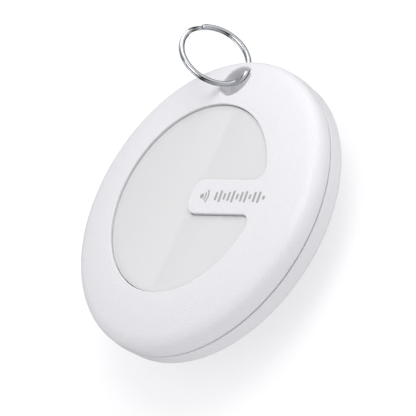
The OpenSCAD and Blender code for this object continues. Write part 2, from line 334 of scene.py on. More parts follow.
def smooth(obj, angle=32):
    """Smooth shading that keeps edges sharper than the angle, in degrees, and flat faces flat."""
    mesh = obj.data
    mesh.shade_smooth()
    bm = bmesh.new()
    bm.from_mesh(mesh)
    limit = math.radians(angle)
    for edge in bm.edges:
        edge.smooth = len(edge.link_faces) == 2 and edge.calc_face_angle(0) < limit
    bm.to_mesh(mesh)
    bm.free()
    weighted = obj.modifiers.new("normals", "WEIGHTED_NORMAL")
    weighted.keep_sharp = True
    return apply_modifiers(obj)


def land_loop(half):
    """Outline of the land round the keyring slot: half a circle, then straight out past the rim."""
    return arc(0, HOLE_Y, half, math.pi, TURN, SLOT_STEPS) + [(half, PAST_RIM), (-half, PAST_RIM)]


def rim_slot_loop(flare):
    """Outline of the slot with its two upright edges at the rim rounded outwards."""
    half = SLOT_HALF + flare
    rim_y = math.sqrt(DISC_R**2 - SLOT_HALF**2)
    y0 = rim_y - SLOT_EDGE_R
    right = arc(half + SLOT_EDGE_R, y0, SLOT_EDGE_R, math.pi, QUARTER, 8)
    left = [(-x, y) for x, y in reversed(right)]
    points = arc(0, HOLE_Y, half, math.pi, TURN, SLOT_STEPS)
    outer_y = DISC_R + SLOT_REACH
    outer = [(half + SLOT_EDGE_R, outer_y), (-half - SLOT_EDGE_R, outer_y)]
    return points + right + outer + left


def tongue_room_loop(x0):
    """Outline of the room round the tongue's underside, from its end at x0 out past the rim."""
    corner = TONGUE_ROOM_CORNER_R
    low, high = TONGUE_Y - TONGUE_ROOM_HALF, TONGUE_Y + TONGUE_ROOM_HALF
    points = arc(x0 + corner, low + corner, corner, -QUARTER, -math.pi, 12)
    points += arc(x0 + corner, high - corner, corner, math.pi, QUARTER, 12)
    return points + [(PAST_RIM, high), (PAST_RIM, low)]


# ---------- case ----------


def rounded_steps(radius, steps=8):
    """(distance from the wall, drop below the face) along a quarter-round edge."""
    angles = [QUARTER * i / steps for i in range(steps + 1)]
    return [(radius * (1 - math.sin(a)), radius * (1 - math.cos(a))) for a in angles]


WINDOW_EDGE_R = 0.12
HOLE_EDGE_R = 0.42
HOLE_STEPS = 120
SLOT_EDGE_R = 0.3
SLOT_STEPS = 48
SLOT_REACH = 4.0
CROWN_R = 21.15
# Spare points of the crown: how far apart they are, and how far they stay from its edges
CROWN_SPACING = 0.5
CROWN_MARGIN = 0.2
# Inside of the front shell: height of its upright wall, and the corner of its sloping ceiling
CAVITY_WALL_H = 4.3
CAVITY_CORNER = (19.5, 5.15)
CAVITY_TOP_R = WINDOW_R + 1.5


def shell_side(top_rho, steps):
    """Outer outline of the front shell from a radius on the shoulder down to the parting line."""
    start = math.acos((top_rho - SHOULDER_X) / SHOULDER_R)
    points = arc(SHOULDER_X, SHOULDER_Z, SHOULDER_R, start, 0, steps)
    foot_r = SIDE_R + (DISC_R - SIDE_R) * (1 - DRAFT_REST)
    foot_z = PARTING_H + REVEAL_H
    points += [(foot_r, foot_z + PARTING_EDGE), (foot_r - PARTING_NICK, foot_z + PARTING_NICK)]
    points += [(foot_r - PARTING_EDGE, foot_z), (DISC_R - REVEAL_W, foot_z)]
    points += [(DISC_R - REVEAL_W, PARTING_H)]
    return points


def make_front_shell():
    """Front half of the case: domed crown with the window and the hole, hollowed out from below."""
    build = Builder()

    def top(x, y):
        return face_height(math.hypot(x, y))

    def hole_loop(gap):
        return circle_loop(0, HOLE_Y, HOLE_R - gap, HOLE_STEPS)

    window_out = window_loop(-WINDOW_EDGE_R)
    hole_out = hole_loop(-HOLE_EDGE_R)
    crown = circle_loop(0, 0, CROWN_R, RIM_STEPS)
    window_keep_out = window_loop(-WINDOW_EDGE_R - CROWN_MARGIN)
    hole_keep_out_r = HOLE_R + HOLE_EDGE_R + CROWN_MARGIN

    def keep(x, y):
        if math.hypot(x, y) > CROWN_R - CROWN_MARGIN or math.hypot(x, y - HOLE_Y) < hole_keep_out_r:
            return False
        return not inside(window_keep_out, x, y)

    build.surface(crown, [window_out, hole_out], top, CROWN_SPACING, keep)
    for loop_at, radius in ((window_loop, WINDOW_EDGE_R), (hole_loop, HOLE_EDGE_R)):
        rings = []
        for distance, drop in rounded_steps(radius):
            rings.append(build.loop(loop_at(-distance), lambda x, y, d=drop: top(x, y) - d))
        rings.append(build.loop(loop_at(0), PARTING_H))
        build.stack(rings)
    rings = [build.loop(circle_loop(0, 0, rho, RIM_STEPS), z) for rho, z in shell_side(CROWN_R, 18)]
    build.stack(rings)
    foot_loop = circle_loop(0, 0, DISC_R - REVEAL_W, RIM_STEPS)
    foot_holes = [window_loop(0), hole_loop(0)]
    build.surface(foot_loop, foot_holes, PARTING_H, FLAT_FILL, lambda x, y: False, up=False)
    shell = build.finish("front_shell_skin")

    below = PARTING_H - 1
    cavity = revolve("cavity", [
        (0, below), (INNER_R, below), (INNER_R, CAVITY_WALL_H), CAVITY_CORNER,
        (CAVITY_TOP_R, UNDERSIDE_H), (0, UNDERSIDE_H),
    ])
    land = prism("land", [(land_loop(LAND_R), 0), (land_loop(LAND_R), 10)])
    combine(cavity, [land], "DIFFERENCE")
    slot = prism("slot", [(rim_slot_loop(0), BELOW), (rim_slot_loop(0), BAR_H)])
    combine(shell, [cavity, slot], "DIFFERENCE")
    return smooth(shell)


# Lip of the rear cover, which reaches up into the front shell, with the groove for its seal
LIP_OUT = INNER_R - 0.15
LIP_IN = LIP_OUT - 0.75
LIP_TOP = PARTING_H + 1.1
LIP_EDGE = 0.12
GROOVE_R = LIP_OUT - 0.36
GROOVE_LOW = 3.05
GROOVE_HIGH = 3.55
FLOOR_T = 1.2
# Parts that stand on the floor start this far inside it
SINK = 0.2
DOOR_R = DOOR_HIGH.x
DOOR_T = 0.75
DOOR_GAP = 0.1
DOOR_MOUTH_EDGE = 0.12
NECK_R = 10.75
NECK_WALL = 0.6
LEDGE_LOW = 0.3
LEDGE_TOP = 1.3
LUG_R = NECK_R + 0.95
LUG_IN = NECK_R - 0.3
LUG_LOW = 1.35
LUG_HIGH = 1.85
LUG_ANGLES = (0, 120, 240)
LUG_SPAN = 20
LUG_WAY_SPAN = 24
LUG_WAY_R = LUG_R + 0.1
LUG_WAY_IN = NECK_R - 0.5
STOP_SPAN = 4
STOP_AFTER_LUG = 2
STOP_IN = NECK_R + 0.2
DOOR_TURN = 30
HOUSING_R = LUG_R + 0.2
HOUSING_WALL = 0.7
HOUSING_TOP = 2.9
STOP_OUT = HOUSING_R + 0.3
POST_ANGLES = (50, 130, 230, 310)
POST_RING_R = 17.2
POST_R = 1.5
PILOT_R = 0.6
PILOT_FLOOR = 1.5
BOARD_H = 4.3
LAND_END_R = 21.3
LAND_LOW = 0.5
BUZZER_Y = -15.85
SOUND_HOLE_ANGLES = (90, 210, 330)
SOUND_HOLE_RING_R = 0.7
SOUND_HOLE_R = 0.3
SOUND_HOLE_EDGE = 0.06


def sector(name, r_out, r_in, z0, z1, start, end):
    """A closed piece of a flat ring between two angles, in degrees."""
    a, b = math.radians(start), math.radians(end)
    loop = arc(0, 0, r_out, a, b, 24) + arc(0, 0, r_in, b, a, 24)
    return prism(name, [(loop, z0), (loop, z1)])


def tube(name, r_out, r_in, z0, z1):
    """A closed upright tube round the axis."""
    return revolve(name, [(r_in, z0), (r_out, z0), (r_out, z1), (r_in, z1)])


def rod(name, x, y, radius, z0, z1, steps=48):
    """A closed upright round bar."""
    loop = circle_loop(x, y, radius, steps)
    return prism(name, [(loop, z0), (loop, z1)])


def polar(radius, angle):
    """A place at a distance and an angle, in degrees, from the axis."""
    a = math.radians(angle)
    return radius * math.cos(a), radius * math.sin(a)


def make_rear_cover():
    """Back half of the case, with the bayonet housing, screw posts, slot and sound holes."""
    side = DISC_R - (DISC_R - BACK_SIDE_R) * DRAFT_REST
    top = PARTING_H - REVEAL_H
    profile = [(0, 0), (BACK_SIDE_R - BACK_EDGE_R - EDGE_SUPPORT, 0)]
    profile += arc(BACK_SIDE_R - BACK_EDGE_R, BACK_EDGE_R, BACK_EDGE_R, -QUARTER, 0, 14)
    profile += [(side, top - PARTING_EDGE), (side - PARTING_NICK, top - PARTING_NICK)]
    profile += [(side - PARTING_EDGE, top)]
    profile += [(DISC_R - REVEAL_W, top), (DISC_R - REVEAL_W, PARTING_H), (LIP_OUT, PARTING_H)]
    profile += [(LIP_OUT, GROOVE_LOW), (GROOVE_R, GROOVE_LOW)]
    profile += [(GROOVE_R, GROOVE_HIGH), (LIP_OUT, GROOVE_HIGH)]
    profile += [(LIP_OUT, LIP_TOP - LIP_EDGE), (LIP_OUT - LIP_EDGE, LIP_TOP), (LIP_IN, LIP_TOP)]
    profile += [(LIP_IN, FLOOR_T), (0, FLOOR_T)]
    cover = revolve("rear_cover_skin", profile, RIM_STEPS)

    room_plan = land_loop(LAND_R + PANEL_GAP)
    room = prism("room", [(room_plan, PARTING_H), (room_plan, 6)])
    land = prism("land", [(land_loop(LAND_R), LAND_LOW), (land_loop(LAND_R), PARTING_H)])
    outline = [(0, 0), (LAND_END_R, 0), (LAND_END_R, PARTING_H), (0, PARTING_H)]
    combine(land, [revolve("outline", outline, 240)], "INTERSECT")
    combine(cover, [room], "DIFFERENCE")
    added = [
        land,
        tube("housing", HOUSING_R + HOUSING_WALL, HOUSING_R, FLOOR_T - SINK, HOUSING_TOP),
        tube("ledge", HOUSING_R + 0.5, NECK_R - 1, LEDGE_LOW, LEDGE_TOP),
    ]
    for angle in POST_ANGLES:
        added.append(rod("post", *polar(POST_RING_R, angle), POST_R, FLOOR_T - SINK, BOARD_H))
    for angle in LUG_ANGLES:
        start = angle + LUG_SPAN / 2 + STOP_AFTER_LUG
        end = start + STOP_SPAN
        added.append(sector("stop", STOP_OUT, STOP_IN, LEDGE_TOP - 0.1, LUG_HIGH, start, end))
    combine(cover, added, "UNION")

    stack = [(rim_slot_loop(SLOT_EDGE_R), BELOW)]
    stack += [(rim_slot_loop(distance), height) for distance, height in rounded_steps(SLOT_EDGE_R)]
    removed = [prism("slot", stack + [(rim_slot_loop(0), BAR_H)])]
    mouth, edge = DOOR_R + DOOR_GAP, DOOR_MOUTH_EDGE
    removed.append(revolve("counterbore", [
        (0, BELOW), (mouth + edge, BELOW), (mouth + edge, 0),
        (mouth, edge), (mouth, DOOR_T), (0, DOOR_T),
    ]))
    removed.append(rod("neck_way", 0, 0, NECK_R + DOOR_GAP, BELOW, 3, 240))
    half = LUG_WAY_SPAN / 2
    for angle in LUG_ANGLES:
        start = angle - DOOR_TURN - half
        end = angle - DOOR_TURN + half
        removed.append(sector("lug_way", LUG_WAY_R, LUG_WAY_IN, BELOW, LEDGE_TOP + 0.1, start, end))
    for angle in POST_ANGLES:
        removed.append(rod("pilot", *polar(POST_RING_R, angle), PILOT_R, PILOT_FLOOR, 6))
    radius, edge = SOUND_HOLE_R, SOUND_HOLE_EDGE
    for angle in SOUND_HOLE_ANGLES:
        x, y = polar(SOUND_HOLE_RING_R, angle)
        removed.append(revolve("sound_hole", [
            (0, BELOW), (radius + edge, BELOW), (radius + edge, 0),
            (radius, edge), (radius, 4), (0, 4),
        ], 40, (x, BUZZER_Y + y)))
    combine(cover, removed, "DIFFERENCE")
    return smooth(cover)


# ---------- front panel ----------

PANEL_TOP = PANEL_HIGH.z
FLANGE_LOW = PANEL_LOW.z
FLANGE_HIGH = UNDERSIDE_H - 0.05
FLANGE_R = WINDOW_R + 0.9
PANEL_EDGE_R = 0.1
PANEL_MARGIN = 0.3
# The visible part is made this much longer downwards, into its flange
PANEL_OVERLAP = 0.2
FLANGE_TONGUE_GAP = 0.7


def make_front_panel():
    """C-shaped glossy panel on a wider flange that holds it under the window's edge."""
    build = Builder()
    keep_in = window_loop(PANEL_GAP + PANEL_EDGE_R + PANEL_MARGIN)

    def keep(x, y):
        return inside(keep_in, x, y)

    build.surface(window_loop(PANEL_GAP + PANEL_EDGE_R), [], PANEL_TOP, 1.2, keep)
    rings = [
        build.loop(window_loop(PANEL_GAP + distance), PANEL_TOP - drop)
        for distance, drop in rounded_steps(PANEL_EDGE_R, 5)
    ]
    build.stack(rings)
    foot_z = FLANGE_HIGH - PANEL_OVERLAP
    foot = build.loop(window_loop(PANEL_GAP), foot_z)
    build.bridge(rings[-1], foot)
    build.surface(window_loop(PANEL_GAP), [], foot_z, 3.0, keep, up=False)
    panel = build.finish("front_panel_skin")

    flange = rod("flange", 0, 0, FLANGE_R, FLANGE_LOW, FLANGE_HIGH, 240)
    rooms = (tongue_room_loop(TONGUE_END_X + FLANGE_TONGUE_GAP), land_loop(LAND_R + LAND_GAP))
    cutters = [prism("room", [(plan, 5), (plan, 7)]) for plan in rooms]
    combine(flange, cutters, "DIFFERENCE")
    combine(panel, [flange], "UNION")
    return smooth(panel)


# ---------- printed mark ----------

PRINT_T = 0.012
PRINT_DEPTH = 0.05
MARK_DOT_X = 2.9
MARK_DOT_R = 0.36
MARK_ARC_RADII = (0.86, 1.36)
MARK_ARC_W = 0.24
BAR_FROM_X = 5.5
BAR_COUNT = 12
BAR_PITCH = 0.84
BAR_W = 0.38
# The bars' lengths rise and fall like a sound wave: the angles are in degrees
BAR_SHORTEST = 0.5
BAR_SWING = 1.25
BAR_WAVE_START = 35
BAR_WAVE_STEP = 62


def rounded_bar(x, length, width, radius=0.1):
    """Outline of an upright bar centred on the tongue's middle line."""
    y = length / 2 - radius
    points = []
    left, right = x + radius, x + width - radius
    for i, (cx, cy) in enumerate(((right, y), (left, y), (left, -y), (right, -y))):
        points += arc(cx, TONGUE_Y + cy, radius, i * QUARTER, (i + 1) * QUARTER, 5)
    return points


def make_front_mark():
    """A generic mark: a dot with two arcs, then a row of bars like a sound wave."""
    build = Builder()
    loops = [circle_loop(MARK_DOT_X, TONGUE_Y, MARK_DOT_R, 40)]
    eighth = math.pi / 4
    for radius in MARK_ARC_RADII:
        loops.append(
            arc(MARK_DOT_X, TONGUE_Y, radius, -eighth, eighth, 24)
            + arc(MARK_DOT_X, TONGUE_Y, radius - MARK_ARC_W, eighth, -eighth, 24)
        )
    for i in range(BAR_COUNT):
        wave = abs(math.sin(math.radians(BAR_WAVE_STEP * i + BAR_WAVE_START)))
        length = BAR_SHORTEST + BAR_SWING * wave
        loops.append(rounded_bar(BAR_FROM_X + i * BAR_PITCH, length, BAR_W))

    def level(offset):
        return lambda x, y: face_height(math.hypot(x, y)) + offset

    for loop in loops:
        top = build.loop(loop, level(PRINT_T))
        low = build.loop(loop, level(-PRINT_DEPTH))
        build.bridge(top, low)
        for ring in (top, low):
            build.bm.faces.new(ring)
    build.split_caps()
    return smooth(build.finish("front_mark_print", weld=1e-6))


# ---------- battery door ----------

COIN_SLOT_R = 40.0
COIN_SLOT_DEPTH = 0.4
COIN_SLOT_W = 1.7
CAP_TOP = DOOR_T - 0.05
DOOR_EDGE_R = 0.14
# Groove in the cap for the O-ring, from its outer wall to its inner wall
SEAL_OUT = DOOR_R - 0.35
SEAL_IN = DOOR_R - 0.95
SEAL_FLOOR = 0.3
DOOR_MARK_R = 0.4
DOOR_MARK_DEPTH = 0.15
DOOR_MARK_EDGE = 0.05
DOOR_MARK_AT = DOOR_R - 1.2


def make_coin_slot():
    """Cutter for the coin slot, whose floor is an arc."""
    reach = math.acos(1 - (COIN_SLOT_DEPTH + 0.5) / COIN_SLOT_R)
    start, end = QUARTER + reach, QUARTER - reach
    floor = arc(0, COIN_SLOT_DEPTH - COIN_SLOT_R, COIN_SLOT_R, start, end, 60)
    build = Builder()
    rings = [
        [build.bm.verts.new((x, y, z)) for x, z in floor]
        for y in (-COIN_SLOT_W / 2, COIN_SLOT_W / 2)
    ]
    build.bridge(rings[0], rings[1])
    for ring in rings:
        build.bm.faces.new(ring)
    build.split_caps()
    return build.finish("coin_slot")


def make_battery_door():
    """Round door with a neck, three bayonet lugs, a coin slot and two round marks."""
    profile = [(0, 0), (DOOR_R - DOOR_EDGE_R - EDGE_SUPPORT, 0)]
    profile += arc(DOOR_R - DOOR_EDGE_R, DOOR_EDGE_R, DOOR_EDGE_R, -QUARTER, 0, 6)
    profile += [(DOOR_R, CAP_TOP), (SEAL_OUT, CAP_TOP), (SEAL_OUT, SEAL_FLOOR)]
    profile += [(SEAL_IN, SEAL_FLOOR), (SEAL_IN, CAP_TOP), (NECK_R, CAP_TOP), (NECK_R, LUG_HIGH)]
    profile += [(NECK_R - NECK_WALL, LUG_HIGH), (NECK_R - NECK_WALL, CAP_TOP), (0, CAP_TOP)]
    door = revolve("battery_door_skin", profile, 360)
    half = LUG_SPAN / 2
    lugs = [
        sector("lug", LUG_R, LUG_IN, LUG_LOW, LUG_HIGH, angle - half, angle + half)
        for angle in LUG_ANGLES
    ]
    combine(door, lugs, "UNION")
    mark_floor_r = DOOR_MARK_R - DOOR_MARK_EDGE
    mark = [
        (0, BELOW), (DOOR_MARK_R, BELOW), (DOOR_MARK_R, DOOR_MARK_DEPTH - DOOR_MARK_EDGE),
        (mark_floor_r, DOOR_MARK_DEPTH), (0, DOOR_MARK_DEPTH),
    ]
    cutters = [make_coin_slot()]
    cutters += [revolve("dot", mark, 48, (0, side * DOOR_MARK_AT)) for side in (-1, 1)]
    combine(door, cutters, "DIFFERENCE")
    return smooth(door)


# ---------- split ring ----------

RING_CENTER = Vector((-4.41, 21.14, 7.64))
RING_TURN = 30.5
RING_TILT = 27.1
RING_SPLIT = 125
RING_MEAN_R = 4.9
WIRE_W = 0.72
WIRE_T = 0.3
COIL_GAP = 0.04
WIRE_FROM = 16
WIRE_SPAN = 688
RAMP_FROM = 345
RAMP_SPAN = 30
WIRE_STEPS = 760
# How far each end of the wire is rounded, and how much of its section that takes away
WIRE_END_R = 0.11
WIRE_END_CUT = 0.35
# The smooth wire is drawn this much finer, so that it stays inside the faceted CAD wire's box
WIRE_TRIM = 0.007
WIRE_SIDES = 36
WIRE_CROWN = 0.85


def wire_section():
    """Section of the flat wire with crowned faces, as (across, along) pairs."""
    half_w, half_t = WIRE_W / 2 - WIRE_TRIM, WIRE_T / 2 - WIRE_TRIM
    points = []
    for i in range(WIRE_SIDES):
        across, along = math.cos(TURN * i / WIRE_SIDES), math.sin(TURN * i / WIRE_SIDES)
        points.append((
            half_w * math.copysign(abs(across) ** WIRE_CROWN, across),
            half_t * math.copysign(abs(along) ** WIRE_CROWN, along),
        ))
    return points


def make_split_ring():
    """Two coils of flat wire with a climb between them, and a UV map that runs along the wire."""
    section = wire_section()
    place = (
        Matrix.Translation(RING_CENTER)
        @ Matrix.Rotation(math.radians(RING_TURN), 4, "Z")
        @ Matrix.Rotation(math.radians(90 - RING_TILT), 4, "Y")
        @ Matrix.Rotation(math.radians(RING_SPLIT), 4, "Z")
    )
    length = math.radians(WIRE_SPAN) * RING_MEAN_R
    build = Builder()
    along = build.bm.loops.layers.uv.new("wire")
    rings = []
    for i in range(WIRE_STEPS + 1):
        degrees = WIRE_FROM + WIRE_SPAN * i / WIRE_STEPS
        angle = math.radians(degrees)
        share = min(1.0, max(0.0, (degrees - RAMP_FROM) / RAMP_SPAN))
        climb = -1 + 2 * share * share * (3 - 2 * share)
        from_end = length * min(i, WIRE_STEPS - i) / WIRE_STEPS
        left = min(1.0, from_end / WIRE_END_R)
        shrink = 1 - WIRE_END_CUT * (1 - math.sqrt(left * (2 - left)))
        ring = []
        for across, up in section:
            rho = RING_MEAN_R + across * shrink
            z = climb * (WIRE_T + COIL_GAP) / 2 + up * shrink
            point = place @ Vector((rho * math.cos(angle), rho * math.sin(angle), z))
            ring.append(build.bm.verts.new(point))
        rings.append(ring)
    n = len(section)
    for i, (first, second) in enumerate(zip(rings, rings[1:])):
        for j in range(n):
            k = (j + 1) % n
            face = build.bm.faces.new((first[j], first[k], second[k], second[j]))
            corners = ((i, j), (i, j + 1), (i + 1, j + 1), (i + 1, j))
            for loop, (u, v) in zip(face.loops, corners):
                loop[along].uv = (length * u / WIRE_STEPS, v / n)
    for ring in (rings[0], rings[-1]):
        build.bm.faces.new(ring)
    return smooth(build.finish("split_ring_wire", weld=1e-6), 45)


# ---------- soft foam ring under the panel ----------

FOAM_LOW, FOAM_HIGH = cad_box("panel_gasket")
FOAM_R_OUT = FLANGE_R - 0.2
FOAM_R_IN = 13.5
FOAM_EDGE = 0.08


def make_foam_ring():
    """Soft ring under the panel's flange, with the same rooms as the flange."""
    low, high = FOAM_LOW.z, FOAM_HIGH.z
    ring = revolve("panel_foam", [
        (FOAM_R_IN, low), (FOAM_R_OUT, low),
        (FOAM_R_OUT, high - FOAM_EDGE), (FOAM_R_OUT - FOAM_EDGE, high),
        (FOAM_R_IN + FOAM_EDGE, high), (FOAM_R_IN, high - FOAM_EDGE),
    ], 240)
    rooms = (tongue_room_loop(TONGUE_END_X), land_loop(LAND_R + LAND_GAP))
    combine(ring, [prism("room", [(plan, 4), (plan, 7)]) for plan in rooms], "DIFFERENCE")
    return smooth(ring)


# ---------- materials ----------


def set_range(node, start, end, low, high):
    """Sets a Map Range node to turn start..end into low..high."""
    for name, value in (("From Min", start), ("From Max", end), ("To Min", low), ("To Max", high)):
        node.inputs[name].default_value = value


# Every material that a Finish has made, by its name
MATERIALS = {}


class Finish:
    """Node helper for one procedural material. Lengths are in millimetres on the object."""

    def __init__(self, name):
        self.material = MATERIALS[name] = bpy.data.materials.new(name)
        self.material.use_nodes = True
        self.tree = self.material.node_tree
        self.shader = self.tree.nodes["Principled BSDF"]
        self.place = self.tree.nodes.new("ShaderNodeTexCoord").outputs["Object"]

    def node(self, kind, **settings):
        """A new node with these settings."""
        made = self.tree.nodes.new(kind)
        for key, value in settings.items():
            setattr(made, key, value)
        return made

    def link(self, source, target):
        self.tree.links.new(source, target)

    def stretched(self, x, y, z, source=None):
        """Coordinates with each axis scaled, so that a pattern runs along one of them."""
        mapping = self.node("ShaderNodeMapping")
        self.link(source or self.place, mapping.inputs["Vector"])
        mapping.inputs["Scale"].default_value = (x, y, z)
        return mapping.outputs["Vector"]

    def noise(self, size, detail=4.0, roughness=0.55, source=None):
        """Fractal noise whose largest features are about this many millimetres across."""
        made = self.node("ShaderNodeTexNoise")
        self.link(source or self.place, made.inputs["Vector"])
        made.inputs["Scale"].default_value = 1 / (size * MM)
        made.inputs["Detail"].default_value = detail
        made.inputs["Roughness"].default_value = roughness
        return made.outputs["Fac"]

    def cells(self, size, feature="F1"):
        """Irregular cells about this many millimetres across."""
        made = self.node("ShaderNodeTexVoronoi", feature=feature)
        self.link(self.place, made.inputs["Vector"])
        made.inputs["Scale"].default_value = 1 / (size * MM)
        return made.outputs["Distance"]

    def waves(self, size, direction="X", distortion=0.0, kind="BANDS"):
        """Even bands across an axis, or rings round it, this many millimetres apart."""
        made = self.node("ShaderNodeTexWave", wave_type=kind)
        if kind == "BANDS":
            made.bands_direction = direction
        else:
            made.rings_direction = direction
        self.link(self.place, made.inputs["Vector"])
        made.inputs["Scale"].default_value = math.pi / (10 * size * MM)
        made.inputs["Distortion"].default_value = distortion
        made.inputs["Detail"].default_value = 0.0
        return made.outputs["Fac"]

    def remap(self, source, low, high, start=0.3, end=0.7):
        """A factor spread over start..end, turned into low..high."""
        made = self.node("ShaderNodeMapRange")
        self.link(source, made.inputs["Value"])
        set_range(made, start, end, low, high)
        return made.outputs["Result"]

    def blend(self, factor, first, second):
        """A colour between two others. The node's colour sockets are inputs 6 and 7, output 2."""
        made = self.node("ShaderNodeMix", data_type="RGBA")
        self.link(factor, made.inputs["Factor"])
        made.inputs[6].default_value = (*first, 1)
        made.inputs[7].default_value = (*second, 1)
        return made.outputs[2]

    def product(self, first, second):
        """One pattern times another."""
        made = self.node("ShaderNodeMath", operation="MULTIPLY")
        self.link(first, made.inputs[0])
        self.link(second, made.inputs[1])
        return made.outputs[0]

    def relief(self, height, depth, normal=None):
        """Bump of a height field from 0 to 1, this many millimetres deep."""
        made = self.node("ShaderNodeBump")
        made.inputs["Distance"].default_value = depth * MM
        made.inputs["Strength"].default_value = 1.0
        self.link(height, made.inputs["Height"])
        if normal:
            self.link(normal, made.inputs["Normal"])
        self.link(made.outputs["Normal"], self.shader.inputs["Normal"])
        return made.outputs["Normal"]

    def color(self, factor, first, second):
        """Base colour that wanders between two others."""
        self.link(self.blend(factor, first, second), self.shader.inputs["Base Color"])

    def roughness(self, factor, low, high):
        """Roughness that wanders between two values."""
        self.link(self.remap(factor, low, high), self.shader.inputs["Roughness"])

    def set(self, **values):
        """Sets the shader's own sockets, with _ for a space in a name."""
        for key, value in values.items():
            self.shader.inputs[key.replace("_", " ")].default_value = value


def gray(value, warmth=0.0):
    """A near-neutral linear colour. Positive warmth is yellower, negative is bluer."""
    return (value * (1 + warmth), value, value * (1 - warmth))


def white_plastic(name, tone):
    """Injection-moulded ABS with a fine spark-eroded grain."""
    finish = Finish(name)
    grain = finish.product(finish.noise(0.3, 3.0, 0.6), finish.cells(0.2))
    finish.relief(grain, 0.055, finish.relief(finish.noise(2.2, 2.0), 0.006))
    # A faint violet cast, a little stronger in one tone than in the other
    darker = (tone * 0.98, tone * 0.973, tone * 1.008)
    lighter = (tone * 0.99, tone * 0.983, tone * 1.013)
    finish.color(finish.noise(3.0, 6.0), darker, lighter)
    finish.roughness(finish.noise(0.9, 5.0), 0.38, 0.5)
    finish.set(IOR=1.53, Specular_IOR_Level=0.5, Subsurface_Weight=0.06, Subsurface_Scale=0.0006)
    finish.set(Subsurface_Radius=(1.0, 0.9, 0.85))


def gloss_plastic():
    """Clear hard-coated panel over a pale grey print, with faint handling smudges."""
    finish = Finish("gloss_panel")
    finish.relief(finish.noise(6.0, 1.0), 0.0004)
    finish.color(finish.noise(4.0, 5.0), gray(0.602, -0.006), gray(0.617, -0.004))
    finish.roughness(finish.noise(3.5, 6.0, 0.65), 0.004, 0.014)
    finish.set(IOR=1.5)


def polished_nickel():
    """Bright plating over drawn wire: fine lines along the wire over a faint fine-grained bump."""
    finish = Finish("ring_nickel")
    along = finish.node("ShaderNodeUVMap", uv_map="wire").outputs["UV"]
    lines = finish.noise(1.0, 4.0, 0.6, finish.stretched(0.0006, 0.03, 1.0, along))
    finish.relief(lines, 0.0012, finish.relief(finish.noise(0.35, 5.0, 0.7), 0.001))
    finish.color(finish.noise(0.8, 5.0), (0.55, 0.575, 0.605), (0.65, 0.67, 0.69))
    finish.roughness(finish.noise(0.5, 5.0), 0.09, 0.16)
    finish.set(Metallic=1.0)


def foam():
    """Dark closed-cell foam, with painted shade in the bottoms of its pores."""
    finish = Finish("foam")
    pores_and_shade = finish.cells(0.18)
    finish.relief(pores_and_shade, 0.06)
    # Painted shade: the colour is darkest at the bottom of each pore and lighter towards its rim
    finish.color(finish.remap(pores_and_shade, 0, 1, 0.1, 0.6), gray(0.03), gray(0.075, -0.02))
    finish.roughness(finish.noise(0.4), 0.8, 0.95)


def board_mask():
    """Green solder mask over copper tracks, which show as faint raised lines."""
    finish = Finish("board")
    tracks = finish.cells(1.7, "DISTANCE_TO_EDGE")
    raised = finish.remap(tracks, 1, 0, 0.05, 0.09)
    finish.relief(raised, 0.03)
    finish.color(raised, (0.008, 0.075, 0.028), (0.02, 0.15, 0.05))
    finish.roughness(finish.noise(0.5), 0.25, 0.4)


def matte(name, low, high, rough, grain, depth, mottle, wear):
    """Moulded, fired or printed stuff: a fine grain, a mottled colour and an uneven sheen.

    grain, mottle and wear are the noise settings of the relief, the colour and the roughness.
    """
    finish = Finish(name)
    finish.relief(finish.noise(*grain), depth)
    finish.color(finish.noise(*mottle), low, high)
    finish.roughness(finish.noise(*wear), *rough)


def ceramic(name, low, high):
    """Small moulded or fired part."""
    matte(name, low, high, (0.3, 0.5), (0.06, 3.0), 0.005, (0.5, 5.0), (0.25,))


def metal(name, low, high, rough, brush=(1, 1, 1)):
    """Bare or plated metal, brushed along the axis that has the smallest scale."""
    finish = Finish(name)
    lines = finish.noise(0.12, 4.0, 0.6, finish.stretched(*brush))
    finish.relief(lines, 0.003)
    finish.color(finish.noise(1.2, 5.0), low, high)
    finish.roughness(lines, *rough)
    finish.set(Metallic=1.0)


def turned_metal(name, low, high, rough):
    """Metal with fine rings round the object's upright axis, such as a stamped cell can."""
    finish = Finish(name)
    finish.relief(finish.waves(0.12, "Z", 0.6, "RINGS"), 0.0015)
    finish.color(finish.noise(2.0, 6.0), low, high)
    finish.roughness(finish.noise(0.6, 5.0), *rough)
    finish.set(Metallic=1.0)


def wound_wire():
    """Enamelled copper wire in layers, each turn about a tenth of a millimetre, with painted shade
    in the grooves between turns.
    """
    finish = Finish("copper_wire")
    turns = finish.waves(0.1, "Z", 0.3)
    finish.relief(turns, 0.03)
    # Painted shade: the colour darkens into the grooves between the turns
    finish.color(turns, (0.22, 0.07, 0.03), (0.72, 0.30, 0.14))
    finish.roughness(finish.noise(0.3), 0.2, 0.35)
    finish.set(Metallic=0.9)


def woven_mesh():
    """Dark woven cloth, with painted shade in the hollows of the weave."""
    finish = Finish("mesh_fabric")
    weave_and_shade = finish.product(finish.waves(0.12, "X"), finish.waves(0.12, "Y"))
    finish.relief(weave_and_shade, 0.04)
    # Painted shade: the colour darkens where the weave is low
    finish.color(weave_and_shade, gray(0.02), gray(0.16))
    finish.roughness(finish.noise(0.3), 0.7, 0.9)


